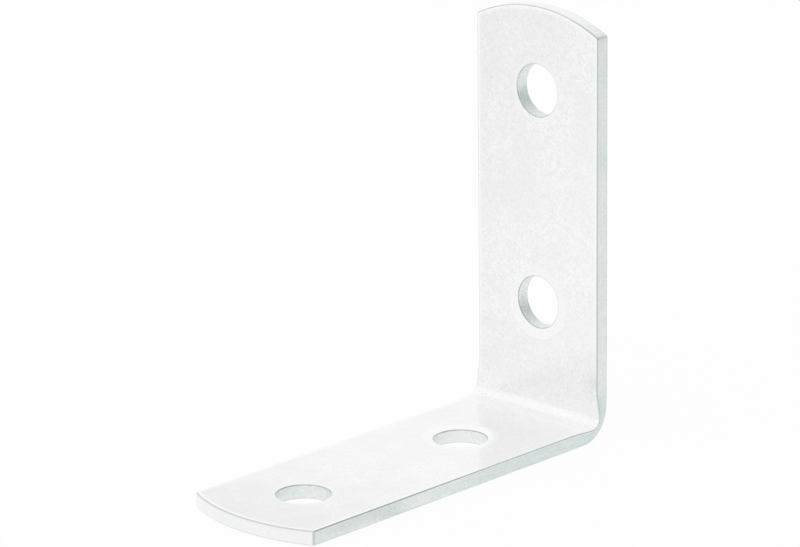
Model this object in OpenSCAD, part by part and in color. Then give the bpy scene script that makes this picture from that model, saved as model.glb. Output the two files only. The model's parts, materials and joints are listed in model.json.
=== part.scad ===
// Angle bracket: one strip of zinc-plated steel, blanked with crowned ends,
// punched with four screw holes and folded cold to a right angle.
// +X runs along the base leg to its free end, +Y across the strip and +Z up the upright leg.
// The origin is the middle of the base's underside.

/* [Strip] */
// Length of each leg, from the outer face of the other leg to the tip of its crown
leg_len = 40.5; // [34:0.5:80]
// Width of the strip
strip_w = 15; // [12:0.5:30]
// Thickness of the strip
strip_t = 1.4; // [1:0.1:3]

/* [Ends and edges] */
// How far the rounded end stands out past its two corners
end_crown = 1.8; // [0.6:0.1:4]
// Rounding of the edges on the inner faces, where the blanking tool drew the metal in
inner_edge_r = 0.12; // [0.04:0.02:0.4]
// Rounding of the edges on the outer faces, which the plating leaves nearly sharp
outer_edge_r = 0.1; // [0.04:0.02:0.4]

/* [Bend] */
// Radius inside the bend
inner_bend_r = 1; // [0.5:0.1:2]
// How much the outer radius exceeds the inner radius and the wall, where the bend thins the strip
bend_thinning = 0.5; // [0:0.1:1]
// How far the bend squeezes each inner edge out past the side of the strip
edge_bulge = 0.4; // [0:0.05:0.8]
// How far the bend pulls each outer edge in from the side of the strip
edge_draw = 0.15; // [0:0.05:0.4]
// Distance along the inner face, from the middle of the bend, over which the bulge dies away
bulge_run = 3.4; // [2:0.1:5]

/* [Screw holes] */
// Diameter of the four holes
hole_d = 5; // [3:0.1:6]
// Distance of the near holes from the outer face of the other leg
near_hole = 12; // [11:0.5:14]
// Distance of the far holes from the tip of the leg
end_hole = 8; // [6:0.5:10]
// Width of the shallow dish that the punch left round a near hole, from the wall of the hole
near_dish_w = 1.1; // [0.4:0.1:1.4]
// Depth of that dish at the wall of the hole
near_dish_depth = 0.12; // [0.02:0.01:0.3]
// Width of the fainter dish round a far hole
far_dish_w = 0.5; // [0.2:0.1:1.4]
// Depth of the fainter dish at the wall of the hole
far_dish_depth = 0.05; // [0.02:0.01:0.3]

/* [Hidden] */
zinc = [0.87, 0.89, 0.89];
// Steps in a quarter turn of an edge's rounding, in the bend, in its run-out and in a dish
edge_steps = 3;
bend_steps = 18;
run_steps = 10;
dish_steps = 6;
circle_fn = 96;
// Overlap that lets a cutting tool pass right through a face
past = 1;

hole_r = hole_d / 2;
half_w = strip_w / 2;
outer_bend_r = inner_bend_r + strip_t + bend_thinning;
// Centre of the inner bend, measured from both outer faces
inner_centre = strip_t + inner_bend_r;
// Half the arc of the inner and outer bend
inner_half_arc = inner_bend_r * PI / 4;
outer_half_arc = outer_bend_r * PI / 4;
// Where the bulge has died away, measured from both outer faces
bend_end = inner_centre - inner_half_arc + bulge_run;
outer_run = outer_half_arc + bend_end - outer_bend_r;
// Radius of the crowned end, from its chord and its height
crown_r = (half_w * half_w + end_crown * end_crown) / (2 * end_crown);
// The crown's disc is wider than the strip here, so the plain leg can pass into it
crown_start = leg_len - 2 * end_crown;

// One side of the strip in section, from the outer face to the inner face:
// each point is its inset from the side and its height in the wall.
side_points = concat(
    [for (i = [0:edge_steps]) let (a = 90 * i / edge_steps)
        [outer_edge_r * (1 - sin(a)), outer_edge_r * (1 - cos(a))]],
    [for (i = [0:edge_steps]) let (a = 90 * i / edge_steps)
        [inner_edge_r * (1 - cos(a)), strip_t - inner_edge_r * (1 - sin(a))]]
);
side_count = len(side_points);
ring_count = 2 * side_count;

// Half width at a height in the wall, between the widths of the outer and the inner face
function half_at(height, outer_half, inner_half) =
    outer_half + (inner_half - outer_half) * height / strip_t;

// Section of the strip as [across, height] points: up its right side, then down its left side
function section(outer_half, inner_half) = concat(
    [for (p = side_points) [half_at(p[1], outer_half, inner_half) - p[0], p[1]]],
    [for (i = [side_count - 1:-1:0]) let (p = side_points[i])
        [p[0] - half_at(p[1], outer_half, inner_half), p[1]]]
);

// Share of the full swelling that is left at a distance s from the middle of the bend
function fade(s, run) = (1 + cos(180 * min(abs(s) / run, 1))) / 2;

// One station of the bend: the point on the outer face, the point on the inner face,
// and the half widths of the two faces there.
function station(outer, inner, outer_s, inner_s) = [
    outer,
    inner,
    half_w - edge_draw * fade(outer_s, outer_run),
    half_w + edge_bulge * fade(inner_s, bulge_run)
];

// Station at an angle from 0, at the foot of the upright, to 90, at the start of the base
function arc_station(a) = station(
    [outer_bend_r * (1 - cos(a)), outer_bend_r * (1 - sin(a))],
    [inner_centre - inner_bend_r * cos(a), inner_centre - inner_bend_r * sin(a)],
    outer_half_arc * (a / 45 - 1),
    inner_half_arc * (a / 45 - 1)
);

// Station on the straight run-out of the base, at a share f from the bend to the end of the bulge
function base_station(f) =
    let (
        outer_x = outer_bend_r + (bend_end - outer_bend_r) * f,
        inner_x = inner_centre + (bend_end - inner_centre) * f
    )
    station(
        [outer_x, 0],
        [inner_x, strip_t],
        outer_half_arc + outer_x - outer_bend_r,
        inner_half_arc + inner_x - inner_centre
    );

// The same station on the upright: both legs are alike, with X and Z exchanged
function upright_station(f) =
    let (s = base_station(f))
    [[s[0][1], s[0][0]], [s[1][1], s[1][0]], s[2], s[3]];

stations = concat(
    [for (i = [run_steps:-1:1]) upright_station(i / run_steps)],
    [for (i = [0:bend_steps]) arc_station(90 * i / bend_steps)],
    [for (i = [1:run_steps]) base_station(i / run_steps)]
);

// Ring of points round the strip at a station
function ring(s) = [
    for (p = section(s[2], s[3]))
        let (share = p[1] / strip_t, at = s[0] + (s[1] - s[0]) * share)
        [at[0], p[0], at[1]]
];

// The bend with its squeezed inner edges and drawn outer edges, lofted through the stations
module bend() {
    rings = len(stations);
    points = [for (s = stations) each ring(s)];
    sides = [
        for (i = [0:rings - 2], j = [0:ring_count - 1])
            let (k = (j + 1) % ring_count, a = i * ring_count, b = a + ring_count)
            each [[a + j, b + j, b + k], [a + j, b + k, a + k]]
    ];
    first = [for (j = [0:ring_count - 1]) j];
    last = [for (j = [ring_count - 1:-1:0]) (rings - 1) * ring_count + j];
    polyhedron(points, concat(sides, [first, last]));
}

// Straight strip along X, outer face down
module strip(from, to) {
    translate([from, 0, 0])
        rotate([90, 0, 90])
            linear_extrude(to - from)
                polygon(section(half_w, half_w));
}

// Disc whose rim is the crowned end, with the rounded edges of the strip
module crown_disc() {
    translate([leg_len - crown_r, 0, 0])
        rotate_extrude($fn = circle_fn * 2)
            polygon(concat(
                [[0, 0]],
                [for (p = side_points) [crown_r - p[0], p[1]]],
                [[0, strip_t]]
            ));
}

// Hole through the base leg, with the shallow dish of the punch round its mouth
module screw_hole(x, dish_w, dish_depth) {
    translate([x, 0, 0]) {
        translate([0, 0, -past])
            cylinder(h = strip_t + 2 * past, r = hole_r, $fn = circle_fn);
        translate([0, 0, strip_t])
            rotate_extrude($fn = circle_fn)
                polygon(concat(
                    [[0, past], [0, -dish_depth]],
                    [for (i = [0:dish_steps]) let (f = i / dish_steps)
                        [hole_r + dish_w * f, -dish_depth * (1 - f) * (1 - f)]],
                    [[hole_r + dish_w, past]]
                ));
    }
}

// One leg, lying along X from the end of the bend to its crowned tip
module leg() {
    difference() {
        union() {
            strip(bend_end, crown_start);
            intersection() {
                strip(crown_start, leg_len);
                crown_disc();
            }
        }
        screw_hole(near_hole, near_dish_w, near_dish_depth);
        screw_hole(leg_len - end_hole, far_dish_w, far_dish_depth);
    }
}

module angle_bracket() {
    color(zinc)
        translate([-leg_len / 2, 0, 0]) {
            bend();
            leg();
            mirror([1, 0, -1])
                leg();
        }
}

angle_bracket();
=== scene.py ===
# %% [markdown]
# A small angle bracket is one strip of steel: blanked with crowned ends, punched with four
# holes, folded cold to a right angle and plated with bright zinc.
# There is nothing to assemble, so its looks rest on three things: a fold that behaves like
# metal, edges that catch the light, and a plating that is neither mirror nor paint.
# This lesson makes those three in turn. It starts by opening the measured model, because
# everything made here has to lie exactly where that model lies.

# %% Open the measured model
import json
from math import atan2, cos, pi, radians, sin, sqrt

import bmesh
import bpy
import numpy as np
from mathutils import Matrix, Vector


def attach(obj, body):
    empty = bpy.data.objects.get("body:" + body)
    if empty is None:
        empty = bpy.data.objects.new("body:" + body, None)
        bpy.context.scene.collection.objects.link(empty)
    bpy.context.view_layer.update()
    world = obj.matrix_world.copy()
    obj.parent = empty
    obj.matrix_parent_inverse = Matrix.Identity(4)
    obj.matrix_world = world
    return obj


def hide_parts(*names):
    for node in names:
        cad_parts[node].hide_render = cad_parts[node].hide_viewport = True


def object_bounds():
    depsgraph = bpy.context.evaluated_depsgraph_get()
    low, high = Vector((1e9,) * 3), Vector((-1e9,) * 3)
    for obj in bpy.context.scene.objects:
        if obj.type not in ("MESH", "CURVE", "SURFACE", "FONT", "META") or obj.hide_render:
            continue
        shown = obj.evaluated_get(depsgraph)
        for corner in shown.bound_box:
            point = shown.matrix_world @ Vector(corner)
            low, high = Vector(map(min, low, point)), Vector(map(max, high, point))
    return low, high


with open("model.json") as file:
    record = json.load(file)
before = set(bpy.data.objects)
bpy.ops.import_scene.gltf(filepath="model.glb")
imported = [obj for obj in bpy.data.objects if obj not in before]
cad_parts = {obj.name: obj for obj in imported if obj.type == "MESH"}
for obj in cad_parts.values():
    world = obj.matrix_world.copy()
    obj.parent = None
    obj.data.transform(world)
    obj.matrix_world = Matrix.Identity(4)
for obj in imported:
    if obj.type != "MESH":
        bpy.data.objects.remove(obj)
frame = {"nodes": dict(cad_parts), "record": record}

MM = 0.001
cad_low, cad_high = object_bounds()
print("nodes:", sorted(frame["nodes"]), "box in mm:", [round(v / MM, 2) for v in cad_high - cad_low])

# %% [markdown]
# The sizes come first. A few can be read from the measured model: the length of a leg is
# its box along X, and the holes are its mounts. The rest are the sizes of the strip, its
# edges and its fold, and they are the ones that the measured model was made with.
# All of them are millimetres until the mesh is made.

# %% Sizes of the bracket
LEG = (cad_high.x - cad_low.x) / MM
MOUNTS = {m["name"]: m for m in frame["record"]["mounts"]}
NEAR_HOLE = MOUNTS["base_near_hole"]["pos_m"][0] / MM + LEG / 2
FAR_HOLE = MOUNTS["base_far_hole"]["pos_m"][0] / MM + LEG / 2
HOLE_R = MOUNTS["base_near_hole"]["dims"]["r_mm"]
HALF_W = 7.5
WALL = 1.4
CROWN = 1.8
INNER_BEND_R = 1.0
BEND_THINNING = 0.5
EDGE_BULGE = 0.4
EDGE_DRAW = 0.15
BULGE_RUN = 3.4
print("leg", round(LEG, 2), "holes at", round(NEAR_HOLE, 2), round(FAR_HOLE, 2), "radius", HOLE_R)

# %% [markdown]
# The bracket is the same on both sides of its middle plane, and its two legs are alike.
# So only a quarter of it is described: the half of the base leg with Y above zero. The
# other quarters are that one with Y turned round, or with X and Z exchanged.
# A leg is drawn in the coordinates x, from the outer corner of the fold along the leg, y,
# across the strip, and h, from the outer face up through the wall.

# %% Where things lie along a leg
OUTER_BEND_R = INNER_BEND_R + WALL + BEND_THINNING
INNER_CENTRE = WALL + INNER_BEND_R
INNER_HALF_ARC = INNER_BEND_R * pi / 4
OUTER_HALF_ARC = OUTER_BEND_R * pi / 4
BEND_END = INNER_CENTRE - INNER_HALF_ARC + BULGE_RUN
OUTER_RUN = OUTER_HALF_ARC + BEND_END - OUTER_BEND_R
BETWEEN_HOLES = (NEAR_HOLE + FAR_HOLE) / 2
CROWN_R = (HALF_W ** 2 + CROWN ** 2) / (2 * CROWN)
print("the fold ends at", round(BEND_END, 2), "and the crown's radius is", round(CROWN_R, 2))


def base_leg(grid):
    """Leg coordinates to the part's own: x runs along +X and h along +Z."""
    return np.concatenate([grid[..., :3] - [LEG / 2, 0, 0], grid[..., 3:]], -1)


def upright_leg(grid):
    """Leg coordinates to the part's own, with X and Z exchanged: x runs along +Z."""
    return np.concatenate([grid[..., [2, 1, 0]] - [LEG / 2, 0, 0], grid[..., 3:]], -1)


def other_side(grid):
    """The same grid with Y turned round."""
    return np.concatenate([grid[..., :3] * [1, -1, 1], grid[..., 3:]], -1)


# %% [markdown]
# The finish isn't the same all over. The sheared walls are duller than the rolled faces, and the metal that
# was strained in the fold is rough. Light and shade are painted along the edges as well: a fine dark line of
# painted shade where face and wall meet, a band of painted highlight just inside that line, and painted
# highlight on the dishes round the holes. No pattern in space can follow such an edge, so every grid carries
# four more values at each point: cut, rim, the painted highlight and strained. The material reads them by
# name.

# %% Marks for the finish
MARKS = ("cut", "rim", "rubbed", "strained")
# Width of the band of painted highlight along an edge
HIGHLIGHT_W = 0.4


def marked(grid, cut=0.0, rim=0.0, rubbed=0.0, strained=0.0):
    """The grid of points with its marks added, each a number or an array over rows or columns."""
    size = grid.shape[:2]
    marks = np.stack([np.broadcast_to(m, size) for m in (cut, rim, rubbed, strained)], -1)
    return np.concatenate([grid, marks], -1)


def painted_highlight_at(distance):
    """1 at the edge of a face and 0 from the width of the band inside it: the share of painted highlight."""
    return np.clip(1 - distance / HIGHLIGHT_W, 0, 1)


print("marks at every point:", ", ".join(MARKS))

# %% [markdown]
# A blanked edge isn't a knife edge. Where the tool draws the metal in, the edge is rounded, and where it
# breaks through, it is nearly sharp. That rounding is what shows as a fine light or dark line along every
# edge of the real thing, so it is modelled and not left to shading; the rim mark paints a dark line of shade
# onto it as well.
# The section of the wall is a list of points, each with its inset from the side and its
# height h. Two more points close to each rounding hold the flat faces flat under smooth
# shading.

# %% Section of a cut edge
# Distance of a holding point from its rounding
HOLD = 0.03
ROUND_STEPS = 5
INNER_EDGE_R = 0.12
OUTER_EDGE_R = 0.1
# How dark the painted shade line at the rim is: on a lower rounding, and along the sides beside that of a
# hole
LOW_RIM = 0.7
SIDE_RIM = 0.65


def quarter(radius):
    """Quarter circle as (1 - cos, 1 - sin) times the radius, from (0, radius) to (radius, 0)."""
    angle = np.linspace(0, pi / 2, ROUND_STEPS + 1)
    return radius * (1 - np.cos(angle)), radius * (1 - np.sin(angle))


def edge_section(inner_r, outer_r):
    """Points (inset, height): the inner face, round its edge, down the side and round to the outer face."""
    inset, drop = quarter(inner_r)
    top = np.stack([inset, WALL - drop], 1)[::-1]
    low = np.stack(quarter(outer_r), 1)
    straight = [[0, WALL - inner_r - HOLD], [0, WALL / 2], [0, outer_r + HOLD]]
    return np.concatenate([top, straight, low])


def edge_marks(section_h, mouth_h, low_h):
    """Marks of a section from its heights: rim, for a painted shade line, on both roundings, cut below the
    upper one.
    """
    rim = np.where(section_h > mouth_h, 1.0, np.where(section_h < low_h, LOW_RIM, 0.0))
    cut = (section_h < mouth_h).astype(float)
    rim[0] = 0.0
    return {"cut": cut, "rim": rim}


SIDE_SECTION = edge_section(INNER_EDGE_R, OUTER_EDGE_R)
SIDE_MARKS = edge_marks(SIDE_SECTION[:, 1], WALL - INNER_EDGE_R - HOLD / 2, OUTER_EDGE_R + HOLD / 2)
SIDE_MARKS["rim"] *= SIDE_RIM
# The band of painted highlight starts at the top of the wall, on the edge of the inner face
SIDE_MARKS["rubbed"] = (SIDE_SECTION[:, 1] == WALL).astype(float)
print("a cut edge has", len(SIDE_SECTION), "points in section")

# %% [markdown]
# The outline of a leg is a straight side, a tiny rounded corner and half of the crowned
# end. All three can be written alike: a centre, a radius and the direction that the edge
# faces. The point on the edge is the centre plus the radius in that direction, and an
# inset just takes a little off the radius, so the same function gives the edge itself and
# the line where its rounding starts.
# The samples are split where the faces need them: half way between the two holes.

# %% Outline of half a leg
CORNER_R = 0.3
SIDE_STEPS = 28
CORNER_STEPS = 4
CROWN_STEPS = 20
ACROSS_STEPS = 13
CROWN_X = LEG - CROWN_R
CORNER_Y = HALF_W - CORNER_R
CORNER_X = CROWN_X + sqrt((CROWN_R - CORNER_R) ** 2 - CORNER_Y ** 2)
CORNER_TURN = atan2(CORNER_Y, CORNER_X - CROWN_X)
# Shares of the way from the middle of the strip to its side, closer together near the side
ACROSS = np.concatenate([np.linspace(0, 0.93, ACROSS_STEPS), [0.96, 0.98, 0.995, 1]])


def edge_points(centre_x, centre_y, radius, facing, inset):
    """Centre plus (radius - inset) in the direction that the edge faces, as points and directions."""
    size = np.broadcast_shapes(np.shape(centre_x), np.shape(facing))
    out = np.broadcast_to(np.stack([np.cos(facing), np.sin(facing)], -1), size + (2,))
    centre = np.stack(np.broadcast_arrays(centre_x, np.full(size, float(centre_y))), -1)
    return centre + (radius - inset) * out, out


def side(start, stop, inset=0.0):
    """Straight side from x = start to x = stop."""
    return edge_points(np.linspace(start, stop, SIDE_STEPS + 1), 0, HALF_W, pi / 2, inset)


def corner_and_crown(inset=0.0):
    """The rounded corner and then the crown, as far as the middle of the strip."""
    corner_facing = np.linspace(pi / 2, CORNER_TURN, CORNER_STEPS + 1)
    crown_facing = np.linspace(CORNER_TURN, 0, CROWN_STEPS + 1)
    corner = edge_points(CORNER_X, CORNER_Y, CORNER_R, corner_facing, inset)
    crown = edge_points(CROWN_X, 0, CROWN_R, crown_facing, inset)
    return [np.concatenate([a[1:], b[1:]]) for a, b in zip(corner, crown)]


def across(x, inset=0.0):
    """Line across the strip at x, from its middle to the inset side."""
    return np.stack([np.full(ACROSS.size, x), ACROSS * (HALF_W - inset)], 1)


def around_near_hole(inset=0.0):
    """Border of the face round the near hole: across at the fold, along the side, and back across."""
    along_side = side(BEND_END, BETWEEN_HOLES, inset)[0][1:]
    back = across(BETWEEN_HOLES, inset)[-2::-1]
    return np.concatenate([across(BEND_END, inset), along_side, back])


def around_far_hole(inset=0.0):
    """Border of the face round the far hole: across, along the side, and round the end to the middle."""
    along_side = side(BETWEEN_HOLES, CORNER_X, inset)[0][1:]
    return np.concatenate([across(BETWEEN_HOLES, inset), along_side, corner_and_crown(inset)[0]])


print("borders of", len(around_near_hole()), "and", len(around_far_hole()), "points")

# %% [markdown]
# A face with a hole in it is a grid too, if it is laid out like a bicycle wheel. One
# parameter runs round the hole and the other from the hole's rim out to the border, so
# the rim stays a true circle and the border stays a true outline.
# The punch drags the metal in before it cuts, which leaves a shallow dish round the mouth of each hole. The
# dish carries a painted highlight, strongest on the side towards the fold. Each dish is wide and clear at the
# two holes near the fold, and faint at the other two.

# %% Faces with a hole, and the holes themselves
# Shares of the way from the rim of a hole to the border, closer together at both ends
SPOKE = np.concatenate([[0, 0.008], np.linspace(0.04, 0.92, 9), [0.95, 0.97, 0.985, 0.995, 1]])
DISH_STEPS = 12
# 1 would be a straight dish and 2 a parabola
DISH_POWER = 1.1
# Roundings at the mouth of a hole and at its lower edge
MOUTH_R = 0.08
BREAK_R = 0.05
# Width, depth and painted highlight of the dish at the hole near the fold and at the one near the tip
NEAR_DISH = (1.1, 0.12, 0.55)
FAR_DISH = (0.5, 0.05, 0.2)
# How much the painted highlight grows towards the fold and falls towards the tip
HIGHLIGHT_LEAN = 0.4


def spokes(border, hole_x):
    """Unit directions from the hole's centre to each point of the border."""
    away = border - [hole_x, 0]
    return away / np.linalg.norm(away, axis=1, keepdims=True)


def holed_face(border, directions, hole_x, rim_r, height, edge_r):
    """Grid (round, outwards): each point goes in a straight line from the rim to the border."""
    rim = [hole_x, 0] + rim_r * directions
    flat = rim[:, None] + (border - rim)[:, None] * SPOKE[None, :, None]
    from_side = HALF_W - flat[..., 1]
    from_crown = CROWN_R - np.hypot(np.maximum(flat[..., 0] - CROWN_X, 0), flat[..., 1])
    # Painted highlight in a band just inside the edges of the face
    rubbed = painted_highlight_at(np.minimum(from_side, from_crown) - edge_r)
    return marked(np.concatenate([flat, np.full(flat.shape[:2] + (1,), height)], 2), rubbed=rubbed)


def hole_section(dish_w, dish_depth):
    """Points (radius, height) down the dish, round the mouth, down the bore and round its lower edge.

    At a share f of the way out from the mouth, the dish lies dish_depth * (1 - f) ** DISH_POWER low.
    """
    f = np.linspace(1, 0, DISH_STEPS + 1)
    mouth_h = WALL - dish_depth
    fallen = dish_depth * (1 - f) ** DISH_POWER
    dish = np.stack([HOLE_R + MOUTH_R + (dish_w - MOUTH_R) * f, WALL - fallen], 1)
    inset, drop = quarter(MOUTH_R)
    mouth = np.stack([HOLE_R + inset, mouth_h - drop], 1)[::-1][1:]
    bore = [[HOLE_R, mouth_h - MOUTH_R - HOLD], [HOLE_R, WALL / 2], [HOLE_R, BREAK_R + HOLD]]
    out, rise = quarter(BREAK_R)
    low = np.stack([HOLE_R + out, rise], 1)
    return np.concatenate([dish, mouth, bore, low])


def hole_band(directions, hole_x, section, dish_highlight):
    """Grid (round, down): the section carried round the hole.

    Its dish carries a painted highlight of the given share times (1 - the lean * d), where d runs from 1,
    towards the tip, to -1.
    """
    flat = [hole_x, 0] + directions[:, None] * section[None, :, :1]
    height = np.broadcast_to(section[None, :, 1:], flat.shape[:2] + (1,))
    wall = section[DISH_STEPS:]
    marks = edge_marks(wall[:, 1], wall[ROUND_STEPS, 1] - HOLD / 2, BREAK_R + HOLD / 2)
    marks = {name: np.concatenate([np.zeros(DISH_STEPS), value]) for name, value in marks.items()}
    # Painted highlight on the dish, stronger towards the fold
    in_dish = np.zeros(len(section))
    in_dish[1:DISH_STEPS] = dish_highlight
    marks["rubbed"] = in_dish * (1 - HIGHLIGHT_LEAN * directions[:, :1])
    return marked(np.concatenate([flat, height], 2), **marks)


def leg_round_hole(border_at, hole_x, dish_w, dish_depth, dish_highlight):
    """The three grids round one hole: inner face, outer face, and the hole with its dish of painted
    highlight.
    """
    directions = spokes(border_at(), hole_x)
    section = hole_section(dish_w, dish_depth)
    return [
        holed_face(border_at(INNER_EDGE_R), directions, hole_x, section[0, 0], WALL, INNER_EDGE_R),
        holed_face(border_at(OUTER_EDGE_R), directions, hole_x, section[-1, 0], 0.0, OUTER_EDGE_R),
        hole_band(directions, hole_x, section, dish_highlight),
    ]


leg_grids = leg_round_hole(around_near_hole, NEAR_HOLE, *NEAR_DISH)
leg_grids += leg_round_hole(around_far_hole, FAR_HOLE, *FAR_DISH)
print("grids of a half leg:", [g.shape[:2] for g in leg_grids])

# %% [markdown]
# The cut edge of a leg is its section carried along the outline. The section stands square to the outline, so
# at each sample it only has to be moved in along the direction that the edge faces. The crowned end came out
# brighter than the sides: it has little of the cut's dullness and carries a painted highlight.

# %% Cut edge of a leg
# How much of the cut's dullness the crowned end has, and how much painted highlight it carries
END_CUT = 0.1
END_HIGHLIGHT = 0.4
# How dark the painted shade on the rounded corner beside the crown is, on the base and on the upright
BASE_CORNER_RIM = 0.6
UPRIGHT_CORNER_RIM = 0.0
# Slack when directions are compared
SLIGHT = 1e-6


def leg_edge(corner_rim):
    """Grid (along, down): the outline point less the section's inset in its direction, at its height.

    The wall of the rounded corner has a rim mark of corner_rim.
    """
    near = side(BEND_END, BETWEEN_HOLES)
    far = side(BETWEEN_HOLES, CORNER_X)
    point, out = (np.concatenate([a, b[1:], c]) for a, b, c in zip(near, far, corner_and_crown()))
    flat = point[:, None] - out[:, None] * SIDE_SECTION[None, :, :1]
    height = np.broadcast_to(SIDE_SECTION[None, :, 1:], flat.shape[:2] + (1,))
    at_crown = out[:, :1] > cos(CORNER_TURN) - SLIGHT
    at_corner = (out[:, :1] > SLIGHT) & ~at_crown
    cut = SIDE_MARKS["cut"] * np.where(at_crown, END_CUT, 1.0)
    # Painted shade line on the wall of the rounded corner
    rim = np.maximum(SIDE_MARKS["rim"], corner_rim * at_corner * SIDE_MARKS["cut"])
    # Painted highlight on the crowned end, besides the band at the top of the wall
    rubbed = np.maximum(SIDE_MARKS["rubbed"], END_HIGHLIGHT * at_crown * SIDE_MARKS["cut"])
    return marked(np.concatenate([flat, height], 2), cut, rim, rubbed)


base_grids = leg_grids + [leg_edge(BASE_CORNER_RIM)]
upright_grids = leg_grids + [leg_edge(UPRIGHT_CORNER_RIM)]
print("cut edge:", base_grids[-1].shape[:2])

# %% [markdown]
# Now the fold. Bent metal doesn't keep its section: the inside of the fold is squeezed,
# so it swells out past the sides of the strip, the outside is stretched, so it pulls in,
# and the wall gets a little thinner. On the real bracket this shows at the corner, where
# the side face narrows to half its width.
# A bend modifier would keep the section as it was, so the fold is worked out instead.
# At every station there are two points, one on the outer face and one on the inner, and
# two half widths. Everything else lies in between.

# %% Stations through the fold
ARC_STEPS = 26
RUN_STEPS = 16


def fade(distance, run):
    """Share of the swelling that is left: half a cosine wave from 1 in the middle to 0 at the run's end."""
    return (1 + np.cos(pi * np.minimum(np.abs(distance) / run, 1))) / 2


def fold_stations():
    """Outer points, inner points, both half widths, and how much the metal is strained, from 0 to 1.

    The points follow an arc through the fold and a straight run into each leg.
    """
    angle = np.linspace(0, pi / 2, ARC_STEPS + 1)
    circle = np.stack([1 - np.cos(angle), 1 - np.sin(angle)], 1)
    outer = OUTER_BEND_R * circle
    inner = WALL + INNER_BEND_R * circle
    turn = angle / (pi / 4) - 1
    share = np.linspace(0, 1, RUN_STEPS + 1)[1:]
    outer_x = OUTER_BEND_R + (BEND_END - OUTER_BEND_R) * share
    inner_x = INNER_CENTRE + (BEND_END - INNER_CENTRE) * share
    outer_base = np.stack([outer_x, np.zeros_like(share)], 1)
    inner_base = np.stack([inner_x, np.full_like(share, WALL)], 1)
    outer_distance = OUTER_HALF_ARC + outer_x - OUTER_BEND_R
    inner_distance = INNER_HALF_ARC + inner_x - INNER_CENTRE
    outer = np.concatenate([outer_base[::-1, ::-1], outer, outer_base])
    inner = np.concatenate([inner_base[::-1, ::-1], inner, inner_base])
    outer_distance = np.concatenate([-outer_distance[::-1], OUTER_HALF_ARC * turn, outer_distance])
    inner_distance = np.concatenate([-inner_distance[::-1], INNER_HALF_ARC * turn, inner_distance])
    strained = fade(inner_distance, BULGE_RUN)
    outer_half = HALF_W - EDGE_DRAW * fade(outer_distance, OUTER_RUN)
    inner_half = HALF_W + EDGE_BULGE * strained
    return outer, inner, outer_half, inner_half, strained


def fold_grid(inset, height):
    """Grid (station, j): height / WALL of the way from the outer to the inner point, less the inset."""
    outer, inner, outer_half, inner_half = fold_stations()[:4]
    share = (height / WALL)[None, :]
    flat = outer[:, None] + (inner - outer)[:, None] * share[..., None]
    half_width = outer_half[:, None] + (inner_half - outer_half)[:, None] * share
    return np.stack([flat[..., 0], half_width - inset[None, :], flat[..., 1]], 2)


# The strain of each station, as a column
STRAINED = fold_stations()[4][:, None]


def fold_face(edge_r, height):
    """Grid (station, across) of a face of the fold: shares of the way from the middle to the inset side."""
    edge = fold_grid(np.array([edge_r]), np.array([height]))
    face = edge * [1, 0, 1] + edge * [0, 1, 0] * ACROSS[None, :, None]
    # Painted highlight in a band just inside the edges of the fold's face
    return marked(face, rubbed=painted_highlight_at(edge[..., 1] - face[..., 1]), strained=STRAINED)


fold_grids = [
    fold_face(INNER_EDGE_R, WALL),
    fold_face(OUTER_EDGE_R, 0.0),
    marked(fold_grid(SIDE_SECTION[:, 0], SIDE_SECTION[:, 1]), strained=STRAINED, **SIDE_MARKS),
]
print("grids of the fold:", [g.shape[:2] for g in fold_grids])

# %% [markdown]
# Every grid becomes rows of four-sided faces. The grids share their borders point for
# point, so merging the doubles closes the whole skin, and the normals are then turned
# outwards together. The marks become attributes of the mesh.

# %% Join the grids into one skin
# Points closer than this are one
MERGE = 0.002


def grid_faces(rows, columns, first):
    """Corners of the four-sided faces between neighbouring rows and columns."""
    i = np.arange((rows - 1) * columns).reshape(rows - 1, columns)[:, :-1]
    corners = np.stack([i, i + 1, i + columns + 1, i + columns], -1)
    return corners.reshape(-1, 4) + first


def skin(name, grids):
    """One mesh object from grids in millimetres, with doubles merged and normals facing out."""
    points = np.concatenate([g.reshape(-1, g.shape[-1]) for g in grids])
    starts = np.cumsum([0] + [g.shape[0] * g.shape[1] for g in grids])
    faces = np.concatenate([grid_faces(g.shape[0], g.shape[1], s) for g, s in zip(grids, starts)])
    mesh = bpy.data.meshes.new(name)
    mesh.from_pydata((points[:, :3] * MM).tolist(), [], faces.tolist())
    for i, mark in enumerate(MARKS):
        values = mesh.attributes.new(mark, "FLOAT", "POINT")
        values.data.foreach_set("value", np.ascontiguousarray(points[:, 3 + i], dtype=np.float32))
    work = bmesh.new()
    work.from_mesh(mesh)
    bmesh.ops.remove_doubles(work, verts=work.verts, dist=MERGE * MM)
    bmesh.ops.recalc_face_normals(work, faces=work.faces)
    open_edges = sum(not edge.is_manifold for edge in work.edges)
    work.to_mesh(mesh)
    work.free()
    mesh.shade_smooth()
    piece = bpy.data.objects.new(name, mesh)
    bpy.context.scene.collection.objects.link(piece)
    print(name, len(mesh.polygons), "faces,", open_edges, "open edges")
    return piece


half = [base_leg(g) for g in base_grids + fold_grids] + [upright_leg(g) for g in upright_grids]
bracket = skin("folded_strip", half + [other_side(g) for g in half])
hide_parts("angle_bracket")
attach(bracket, "root")

# %% [markdown]
# A node tree is easier to read as sums than as boxes and links. The class below wraps a
# socket, so that adding or multiplying two of them adds the Math node that does it, and
# the other one adds any node from its type, its settings and the values of its sockets.

# %% A short way to write nodes


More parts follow.
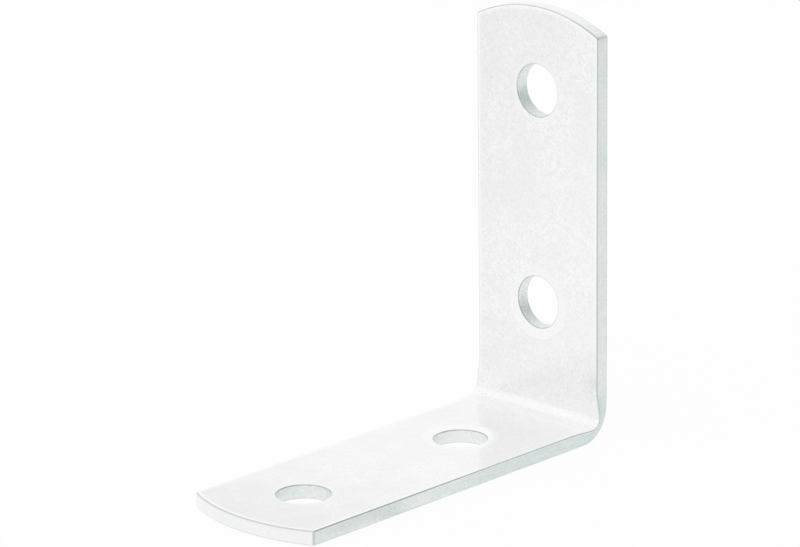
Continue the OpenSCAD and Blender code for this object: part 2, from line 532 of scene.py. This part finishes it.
class Wire:
    """A socket in an expression: + - and * add the Math nodes for it."""

    def __init__(self, graph, socket):
        self.graph = graph
        self.socket = socket

    def maths(self, operation, *values):
        """The result of one Math node on these values."""
        return self.graph.wire("ShaderNodeMath", {"operation": operation}, dict(enumerate(values)))

    def __add__(self, other):
        return self.maths("ADD", self, other)

    def __sub__(self, other):
        return self.maths("SUBTRACT", self, other)

    def __rsub__(self, other):
        return self.maths("SUBTRACT", other, self)

    def __mul__(self, other):
        return self.maths("MULTIPLY", self, other)

    def between(self, low, high):
        """0 at low and below, 1 at high and above, and a straight line between."""
        return self.graph.wire("ShaderNodeMapRange", None, {"Value": self, "From Min": low, "From Max": high})

    def from_to(self, first, second):
        """The first number where this is 0, the second where it is 1, and a straight line between."""
        return first + (second - first) * self

    __radd__ = __add__
    __rmul__ = __mul__


class Graph:
    """The empty node tree of a material or world, filled one node at a time."""

    def __init__(self, owner):
        owner.use_nodes = True
        self.tree = owner.node_tree
        self.tree.nodes.clear()

    def node(self, kind, settings=None, values=None):
        """A new node: its settings are set first, then its sockets get values or links."""
        new = self.tree.nodes.new(kind)
        for name, value in (settings or {}).items():
            setattr(new, name, value)
        for name, value in (values or {}).items():
            if isinstance(value, Wire):
                self.tree.links.new(value.socket, new.inputs[name])
            else:
                new.inputs[name].default_value = value
        return new

    def wire(self, kind, settings=None, values=None, output=0):
        """A new node, as the Wire of one of its outputs."""
        return Wire(self, self.node(kind, settings, values).outputs[output])

    def surface(self, kind, shader):
        """The output node of a material or world."""
        self.node(kind, None, {"Surface": shader})


# %% [markdown]
# Bright zinc looks almost white because it mirrors a white room, so it is a metal and
# not a grey paint. What tells it from chrome is its fine grain: the crystals of the
# plating scatter each reflection a little, and not everywhere alike.
# Noises on Object coordinates do that: soft clouds a few millimetres wide, a mottling of
# about half a millimetre that is clearer in some clouds than in others, and a finer grain.
# Both legs share one set of coordinates in the material too: the larger of x and z is
# the distance along a leg, and the smaller one is the height in its wall. With them, the
# material knows the tips, the stretch near the fold and the leg that it is on.

# %% Places and noises of the plating
# Distances along a leg between which the tip sets in
TIP = (19 * MM, LEG * MM)
# Distances along a leg between which two stretches beside the fold end, a short and a long one
NEAR_FOLD = (4 * MM, 13 * MM)
NEAR_PART = (16 * MM, 27 * MM)
# Distances from the middle of the strip: the bores lie within the first, the sides beyond the second
AT_SIDE = (4 * MM, 6 * MM)
# z less the distance from the corner: the base lies below the first, the upright above the second
LEG_TO_LEG = (-3 * MM, 3 * MM)
# Width in millimetres and detail of each noise
CLOUD_NOISE = (4.0, 2.0)
MOTTLE_NOISE = (0.6, 2.0)
GRAIN_NOISE = (0.24, 1.0)
DRAG_NOISE = (0.3, 2.0)
NOISE_ROUGHNESS = 0.55
NOISE_MIDDLE = 0.5
CLOUD_RANGE = (0.3, 0.7)
# A length along the strip counts this much in the drag marks, which draws them out
DRAG_STRETCH = 0.08


class Plating(Graph):
    """A Graph that holds what varies over the plating, as Wires: places, marks and noises."""

    def __init__(self, owner):
        super().__init__(owner)
        place = self.wire("ShaderNodeTexCoord", output="Object")
        x, self.y, z = (self.wire("ShaderNodeSeparateXYZ", None, {0: place}, output=axis) for axis in "XYZ")
        from_corner = x + LEG / 2 * MM
        along = from_corner.maths("MAXIMUM", from_corner, z)
        height = from_corner.maths("MINIMUM", from_corner, z)
        self.on_upright = (z - from_corner).between(*LEG_TO_LEG)
        self.near_fold = 1 - along.between(*NEAR_FOLD)
        self.near_part = (1 - self.on_upright) * (1 - along.between(*NEAR_PART))
        self.tip = along.between(*TIP)
        self.at_side = self.y.maths("ABSOLUTE", self.y).between(*AT_SIDE)
        self.cut, self.rim, self.rubbed, self.strained = (
            self.wire("ShaderNodeAttribute", {"attribute_name": mark}, output="Fac") for mark in MARKS)
        self.clouds = self.noise(place, *CLOUD_NOISE).between(*CLOUD_RANGE)
        self.mottle = self.noise(place, *MOTTLE_NOISE) - NOISE_MIDDLE
        self.grain = self.noise(place, *GRAIN_NOISE) - NOISE_MIDDLE
        drag_place = self.wire("ShaderNodeCombineXYZ", None, {
            "X": along * DRAG_STRETCH, "Y": self.y, "Z": height})
        self.drag = self.noise(drag_place, *DRAG_NOISE) - NOISE_MIDDLE

    def noise(self, place, size_mm, detail):
        """Noise whose features are about size_mm wide."""
        return self.wire("ShaderNodeTexNoise", {"noise_dimensions": "3D"}, {
            "Vector": place, "Scale": 1 / (size_mm * MM), "Detail": detail, "Roughness": NOISE_ROUGHNESS})

    def blend(self, factor, a, b):
        """Colour a where factor is 0 and b where it is 1."""
        return self.wire("ShaderNodeMix", {"data_type": "RGBA"}, {
            "Factor": factor, "A": a, "B": b}, output="Result")


print("noises", [size for size, detail in (CLOUD_NOISE, MOTTLE_NOISE, GRAIN_NOISE, DRAG_NOISE)], "mm wide")

# %% [markdown]
# A face lies between a dark and a pale tone. The speckle of mottle and grain is weaker on the base than on
# the upright, calmer near the fold and broken up right in it. The slow changes of tone are matched: greyer
# tips, most of all on the base, and painted light, which makes the base a little paler away from the fold,
# the upright a shade paler towards +Y and the fold pale, as a painted highlight.

# %% Tone of the faces
# In this cell and the next two, a pair named BY_LEG gives the base first and then the upright.
# BY_CLOUD runs from between the clouds to their middle, and TO_FOLD from the open leg to the fold.
FACE_DARK = (0.79, 0.795, 0.795, 1)
FACE_PALE = (0.985, 0.985, 0.985, 1)
MOTTLE_SHARE = 0.4
GRAIN_SHARE = 0.62
SPECKLE_BY_CLOUD = (0.8, 2.2)
SPECKLE_BY_LEG = (0.55, 1.0)
CALM_NEAR_FOLD = 0.2
BROKEN_IN_FOLD = 0.65
FACE_LEVEL = 0.72
CLOUD_TONE = 0.23
CLOUD_TO_FOLD = (1.0, 0.6)
FOLD_HIGHLIGHT = 0.28
OPEN_BASE_LIGHT = 0.07
SIDE_PAINTED_LIGHT = 0.1
TIP_GREY_BY_LEG = (0.44, 0.22)


def speckle_of(zinc):
    """Mottle and grain, both around 0, times a strength that depends on the place."""
    strength = zinc.on_upright.from_to(*SPECKLE_BY_LEG) - CALM_NEAR_FOLD * zinc.near_fold
    strength = strength + BROKEN_IN_FOLD * zinc.strained * zinc.strained
    speckle = MOTTLE_SHARE * zinc.mottle + GRAIN_SHARE * zinc.grain
    return speckle * zinc.clouds.from_to(*SPECKLE_BY_CLOUD) * strength


def face_shade(zinc, speckle):
    """0 for the dark tone of a face and 1 for the pale one: a level, plus clouds, greyer tips, painted light
    by place and speckle.
    """
    clouds = CLOUD_TONE * (zinc.clouds - NOISE_MIDDLE) * zinc.near_fold.from_to(*CLOUD_TO_FOLD)
    # Painted light: the base paler away from the fold, the upright paler towards +Y, and a painted highlight
    # in the fold
    painted_light_open_base = OPEN_BASE_LIGHT * (1 - zinc.on_upright) * (1 - zinc.near_fold)
    painted_light_to_side = zinc.on_upright * zinc.y * (SIDE_PAINTED_LIGHT / (HALF_W * MM))
    tip_grey = zinc.tip * zinc.on_upright.from_to(*TIP_GREY_BY_LEG)
    places = FOLD_HIGHLIGHT * zinc.strained + painted_light_open_base + painted_light_to_side - tip_grey
    return (FACE_LEVEL + clouds + places + speckle).between(0.0, 1.0)


print("faces from", FACE_DARK[:3], "to", FACE_PALE[:3])

# %% [markdown]
# The sheared walls are a little darker and faintly green, with drag marks along the strip, and part of that
# darkness is painted shade. On the base, towards the fold, the sides carry more painted shade and the bore
# painted light, and the walls in the fold are painted darker as shade. The dark line along the edges is
# painted shade too, stronger on the sides of the upright and weaker on the sides of the base towards the
# fold. All of this is matched too.

# %% Tone of the cut walls and of the line at the edges
CUT_DARK = (0.785, 0.86, 0.848, 1)
CUT_PALE = (0.97, 0.98, 0.975, 1)
RIM_SHADE_TONE = (0.55, 0.62, 0.60, 1)
# The cut walls of the upright are painted paler than those of the base, as light
CUT_LEVEL_BY_LEG = (0.72, 0.79)
CUT_DRAG = 1.05
CUT_MOTTLE = 0.8
CUT_GRAIN = 1.3
# Painted light that the near part of the base adds in a bore, and painted shade that it adds at the side of
# the strip
BORE_LIGHT_TO_SIDE_SHADE = (0.28, -0.44)
CUT_FOLD_SHADE = 0.26
RIM_UPRIGHT_MORE = 0.5
RIM_BASE_LESS = 0.65


def cut_shade(zinc):
    """0 for the dark tone of a cut wall and 1 for the pale one: a level, plus texture, and painted light and
    shade by place.
    """
    texture = CUT_DRAG * zinc.drag + CUT_MOTTLE * zinc.mottle + CUT_GRAIN * zinc.grain
    # Painted light in a bore and painted shade at the side near the fold on the base, and painted shade in
    # the fold
    places = zinc.near_part * zinc.at_side.from_to(*BORE_LIGHT_TO_SIDE_SHADE) - CUT_FOLD_SHADE * zinc.strained
    return (zinc.on_upright.from_to(*CUT_LEVEL_BY_LEG) + texture + places).between(0.0, 1.0)


def painted_edge_shade(zinc):
    """Painted shade line: the rim mark, times 1 plus or minus what the leg does to it at the side of the
    strip.
    """
    by_leg = RIM_UPRIGHT_MORE * zinc.on_upright - RIM_BASE_LESS * zinc.near_part
    return zinc.rim * (1 + zinc.at_side * by_leg)


print("cut walls from", CUT_DARK[:3], "to", CUT_PALE[:3], "and lines", RIM_SHADE_TONE[:3])

# %% [markdown]
# One shader takes the tones together. It is metal all over. The cut walls scatter a
# reflection far more than the rolled faces do, and the grain is a very shallow bump that
# is deeper only where the fold strained the metal.

# %% Bright zinc plating
# How far a place of painted highlight takes on the pale tone, and how much the speckle breaks it up
HIGHLIGHT_LEVEL = 1.1
HIGHLIGHT_SPECKLE = 1.5
ROUGH_BY_LEG = (0.11, 0.15)
ROUGH_CLOUDS = 0.06
ROUGH_MOTTLE = 0.1
ROUGH_FOLD = 0.1
ROUGH_CUT = 0.42
RELIEF_GRAIN = 0.1
RELIEF_MOTTLE = 0.05
RELIEF_FOLD = 7.0
BUMP_STRENGTH = 0.3
BUMP_DEPTH = 0.02 * MM


def bright_zinc():
    """Metal whose colour, roughness and normal follow the places, marks and noises of the plating."""
    material = bpy.data.materials.new("bright_zinc")
    zinc = Plating(material)
    speckle = speckle_of(zinc)
    colour = zinc.blend(face_shade(zinc, speckle), FACE_DARK, FACE_PALE)
    # Painted highlight: the edge bands, the dishes and the crowned end blend towards the pale tone
    colour = zinc.blend(zinc.rubbed * (HIGHLIGHT_LEVEL + HIGHLIGHT_SPECKLE * speckle), colour, FACE_PALE)
    # Cut walls: darker and faintly green, part of it painted shade
    colour = zinc.blend(zinc.cut, colour, zinc.blend(cut_shade(zinc), CUT_DARK, CUT_PALE))
    # Painted shade: the dark line on the edge roundings
    colour = zinc.blend(painted_edge_shade(zinc), colour, RIM_SHADE_TONE)
    roughness = zinc.on_upright.from_to(*ROUGH_BY_LEG) + ROUGH_CLOUDS * zinc.clouds
    roughness = roughness + ROUGH_MOTTLE * zinc.mottle + ROUGH_FOLD * zinc.strained + ROUGH_CUT * zinc.cut
    mottle_relief = RELIEF_MOTTLE + RELIEF_FOLD * zinc.strained * zinc.strained
    relief = RELIEF_GRAIN * zinc.grain + mottle_relief * zinc.mottle
    bump = zinc.wire("ShaderNodeBump", None, {
        "Strength": BUMP_STRENGTH, "Distance": BUMP_DEPTH, "Height": relief}, output="Normal")
    shader = zinc.wire("ShaderNodeBsdfPrincipled", None, {
        "Base Color": colour, "Roughness": roughness, "Normal": bump, "Metallic": 1.0}, output="BSDF")
    zinc.surface("ShaderNodeOutputMaterial", shader)
    return material


bracket.data.materials.append(bright_zinc())
print("materials:", [m.name for m in bracket.data.materials])

# %% [markdown]
# The bracket stands on a plain white floor. The camera and the metal see most of it as
# plain white, and so would glass. The small share that stays matt keeps the soft shadow
# under the bracket, which is what shows that the base lies flat on it.

# %% Floor
# Half the width of the floor, in metres
FLOOR_HALF = 1.5
FLOOR_WHITE = 0.9
FLOOR_GLOW = 1.0
GLOW_SHARE = 0.95


def floor_material():
    """Matt white that the camera, mirror rays and rays through glass see mostly as plain white."""
    material = bpy.data.materials.new("white_floor")
    graph = Graph(material)
    path = graph.node("ShaderNodeLightPath")
    rays = ("Is Camera Ray", "Is Glossy Ray", "Is Transmission Ray")
    camera_ray, glossy_ray, glass_ray = (Wire(graph, path.outputs[name]) for name in rays)
    matt = graph.wire("ShaderNodeBsdfDiffuse", None, {"Color": (FLOOR_WHITE, FLOOR_WHITE, FLOOR_WHITE, 1)})
    glow = graph.wire("ShaderNodeEmission", None, {"Color": (1, 1, 1, 1), "Strength": FLOOR_GLOW})
    seen = (camera_ray + glossy_ray.maths("MAXIMUM", glossy_ray, glass_ray)) * GLOW_SHARE
    mixed = graph.wire("ShaderNodeMixShader", None, {0: seen, 1: matt, 2: glow})
    graph.surface("ShaderNodeOutputMaterial", mixed)
    return material


floor_ends = [-FLOOR_HALF, FLOOR_HALF]
floor_points = np.stack(np.meshgrid(floor_ends, floor_ends, [0.0], indexing="ij"), -1).reshape(-1, 3)
floor_mesh = bpy.data.meshes.new("floor")
floor_mesh.from_pydata(floor_points.tolist(), [], [(0, 2, 3, 1)])
floor = bpy.data.objects.new("floor", floor_mesh)
bpy.context.scene.collection.objects.link(floor)
floor.data.materials.append(floor_material())
print("floor", 2 * FLOOR_HALF, "m wide, normal", tuple(floor.data.polygons[0].normal))

# %% [markdown]
# A room for metal is mostly what the metal sees. This one is white on the camera's left and behind the
# bracket, and it fades to a clearly darker, faintly green tone on the right, as in a studio with one big soft
# light on the left. That difference draws the side of the strip darker than its faces, together with the
# painted shade on its cut walls. There is no lamp: the room and the white of the floor are all that the metal
# mirrors.

# %% Room
LIGHT_FROM = Vector((0.6, -0.8, 0.0))
LIGHT_SIDE = (0.98, 0.98, 0.98, 1)
DARK_SIDE = (0.45, 0.52, 0.50, 1)
# How far a direction points to the light, where the room is darkest and where it is white
FADE = (-0.85, 0.05)


def room(scene):
    """World that fades from the light side to the dark side, the same for the camera and the metal."""
    world = bpy.data.worlds.new("studio")
    scene.world = world
    graph = Graph(world)
    facing = graph.wire("ShaderNodeTexCoord", output="Generated")
    toward = graph.wire("ShaderNodeVectorMath", {"operation": "DOT_PRODUCT"}, {
        0: facing, 1: tuple(LIGHT_FROM)}, output="Value")
    share = graph.wire("ShaderNodeMapRange", {"interpolation_type": "SMOOTHSTEP"}, {
        "Value": toward, "From Min": FADE[0], "From Max": FADE[1]}, output="Result")
    colour = graph.wire("ShaderNodeMix", {"data_type": "RGBA"}, {
        "Factor": share, "A": DARK_SIDE, "B": LIGHT_SIDE}, output="Result")
    background = graph.wire("ShaderNodeBackground", None, {"Color": colour, "Strength": 1.0})
    graph.surface("ShaderNodeOutputWorld", background)


room(bpy.context.scene)
bpy.context.scene.view_settings.view_transform = "Standard"
print("light comes from", [round(v, 2) for v in LIGHT_FROM])

# %% [markdown]
# The camera stands where the photograph was taken. It was found from the outline: far
# away with a long lens, 134 degrees round and 17 degrees up.

# %% Camera
# Angles in degrees and lengths in millimetres, apart from the clipping distances in metres
AZIMUTH = 134.174
ELEVATION = 17.314
ROLL = -0.666
DISTANCE = 415.17
AIM = Vector((-0.02, 0.448, 19.295))
LENS = 207.109
SENSOR_W = 36.0
CLIP = (0.01, 10.0)


def photo_camera(scene):
    """Camera at the distance from the aim, turned to it and then rolled about its own axis."""
    azimuth, elevation = radians(AZIMUTH), radians(ELEVATION)
    back = Vector((sin(azimuth) * cos(elevation), -cos(azimuth) * cos(elevation), sin(elevation)))
    level = (-back).to_track_quat("-Z", "Y").to_matrix().to_4x4()
    data = bpy.data.cameras.new("photo_camera")
    data.lens = LENS
    data.sensor_width = SENSOR_W
    data.clip_start, data.clip_end = CLIP
    camera = bpy.data.objects.new("photo_camera", data)
    scene.collection.objects.link(camera)
    place = Matrix.Translation((AIM + back * DISTANCE) * MM)
    camera.matrix_world = place @ level @ Matrix.Rotation(radians(ROLL), 4, "Z")
    scene.camera = camera


photo_camera(bpy.context.scene)
print("camera at", [round(v, 3) for v in bpy.context.scene.camera.location])

# %% [markdown]
# Last, the view layer is brought up to date.

# %% Finish
bpy.context.view_layer.update()
